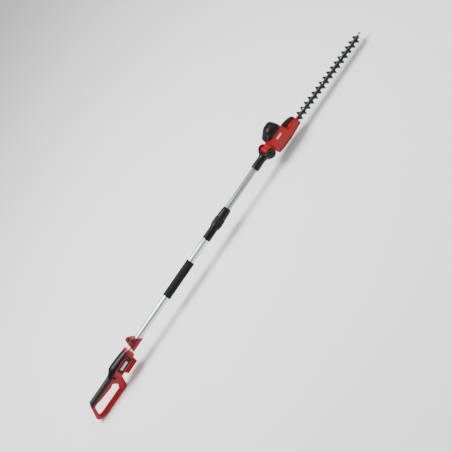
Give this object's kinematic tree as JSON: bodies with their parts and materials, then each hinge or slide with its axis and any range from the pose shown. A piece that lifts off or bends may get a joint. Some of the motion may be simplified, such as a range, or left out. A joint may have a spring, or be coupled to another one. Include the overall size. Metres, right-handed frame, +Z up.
{
  "type": "pole hedge trimmer",
  "caption": "Cordless telescopic pole hedge trimmer with a D-handle, foam-covered pole, screw lock, tilting motor head and double-sided reciprocating blades.",
  "frame": {"origin": "on the ground plane under the handle, half way along the tool and on its centre plane", "axes": "+X from the handle along the pole to the blade tip, +Z up through the motor dome, +Y the user's left"},
  "size_m": [1.855, 0.08, 0.1488],
  "materials": {
    "red_abs": "satin moulded",
    "dark_red_nylon": "satin moulded",
    "black_abs": "fine texture",
    "soft_grip_rubber": "ribbed soft touch",
    "eva_foam": "closed-cell foam",
    "brushed_aluminium": "drawn and anodised",
    "zinc_plated_steel": "zinc plated",
    "blackened_blade_steel": "blackened, ground edges",
    "bar_steel": "rolled",
    "terminal_brass": "plain",
    "white_nylon": "natural",
    "cable_pvc": "extruded"
  },
  "bodies": {
    "handle": {"handle_shell_left": "red_abs", "handle_shell_right": "red_abs", "handle_screw_1": "zinc_plated_steel", "handle_screw_2": "zinc_plated_steel", "handle_screw_3": "zinc_plated_steel", "handle_screw_4": "zinc_plated_steel", "soft_grip": "soft_grip_rubber", "top_cover": "black_abs", "front_collar": "red_abs", "trigger_pin": "zinc_plated_steel", "trigger_switch": "black_abs", "side_panel_left": "black_abs", "side_panel_right": "black_abs", "battery_dock": "red_abs", "terminal_block": "terminal_brass", "handle_cable": "cable_pvc", "strap_clamp_left": "dark_red_nylon", "strap_clamp_right": "dark_red_nylon", "clamp_bolt": "zinc_plated_steel", "clamp_nut": "zinc_plated_steel", "outer_tube": "brushed_aluminium", "foam_grip": "eva_foam", "lock_body": "black_abs", "collet": "white_nylon"},
    "trigger_lever": {"trigger": "red_abs"},
    "lock_off": {"lock_off_button": "black_abs"},
    "lock_nut": {"lock_nut": "black_abs"},
    "upper_pole": {"inner_tube": "brushed_aluminium", "guide_bush": "white_nylon", "coiled_cable": "cable_pvc", "swivel_fork": "black_abs", "pivot_bolt": "zinc_plated_steel"},
    "tilt_release": {"tilt_release_button": "black_abs"},
    "head": {"head_shell_left": "red_abs", "head_shell_right": "red_abs", "head_screw_1": "zinc_plated_steel", "head_screw_2": "zinc_plated_steel", "head_screw_3": "zinc_plated_steel", "motor_cover": "black_abs", "nose_guard": "black_abs", "sole_plate": "black_abs", "motor_can": "zinc_plated_steel", "gearbox_plate": "brushed_aluminium", "bearing_upper": "zinc_plated_steel", "bearing_lower": "zinc_plated_steel", "guide_bar": "bar_steel", "blade_bolt_1": "zinc_plated_steel", "blade_bolt_2": "zinc_plated_steel", "blade_bolt_3": "zinc_plated_steel", "blade_bolt_4": "zinc_plated_steel", "blade_bolt_5": "zinc_plated_steel", "blade_bolt_6": "zinc_plated_steel", "lock_plunger": "zinc_plated_steel", "lock_spring": "zinc_plated_steel"},
    "motor_rotor": {"motor_pinion": "zinc_plated_steel"},
    "crank": {"drive_gear": "zinc_plated_steel", "eccentric_cams": "zinc_plated_steel", "gear_axle": "zinc_plated_steel"},
    "upper_blade_slider": {"upper_blade": "blackened_blade_steel"},
    "lower_blade_slider": {"lower_blade": "blackened_blade_steel"}
  },
  "joints": [
    {"name": "telescope", "type": "slide", "parent": "handle", "child": "upper_pole", "axis": [1, 0, 0], "range_m": [0, 0.5]},
    {"name": "head_tilt", "type": "hinge", "parent": "upper_pole", "child": "head", "pos_m": [0.3225, 0, 0.081], "axis": [0, 1, 0], "range_deg": [-15, 75]},
    {"name": "lock_nut_turn", "type": "hinge", "parent": "handle", "child": "lock_nut", "pos_m": [0.0035, 0, 0.081], "axis": [1, 0, 0], "range_deg": [0, 60]},
    {"name": "trigger_pull", "type": "hinge", "parent": "handle", "child": "trigger_lever", "pos_m": [-0.7865, 0, 0.0695], "axis": [0, 1, 0], "range_deg": [0, 6], "stiffness_Nm_per_rad": 1, "springref_deg": -5.73},
    {"name": "lock_off_press", "type": "slide", "parent": "handle", "child": "lock_off", "axis": [0, 1, 0], "range_m": [0, 0.003], "stiffness_N_per_m": 600, "springref_m": -0.002},
    {"name": "tilt_release_press", "type": "slide", "parent": "upper_pole", "child": "tilt_release", "axis": [0, 1, 0], "range_m": [0, 0.003], "stiffness_N_per_m": 1200, "springref_m": -0.002},
    {"name": "gear_turn", "type": "hinge", "parent": "head", "child": "crank", "pos_m": [0.42709, 0, 0.06734], "axis": [0.0349, 0, 0.9994], "continuous": true},
    {"name": "motor_turn", "type": "hinge", "parent": "head", "child": "motor_rotor", "pos_m": [0.39411, 0, 0.06849], "axis": [0.0349, 0, 0.9994], "continuous": true},
    {"name": "upper_blade_slide", "type": "slide", "parent": "head", "child": "upper_blade_slider", "axis": [0.9994, 0, -0.0349], "range_m": [-0.006, 0.006]},
    {"name": "lower_blade_slide", "type": "slide", "parent": "head", "child": "lower_blade_slider", "axis": [0.9994, 0, -0.0349], "range_m": [-0.006, 0.006]}
  ],
  "couplings": [
    {"joint": "motor_turn", "follows": "gear_turn", "ratio": -5.6},
    {"joint": "lower_blade_slide", "follows": "upper_blade_slide", "ratio": -1}
  ]
}
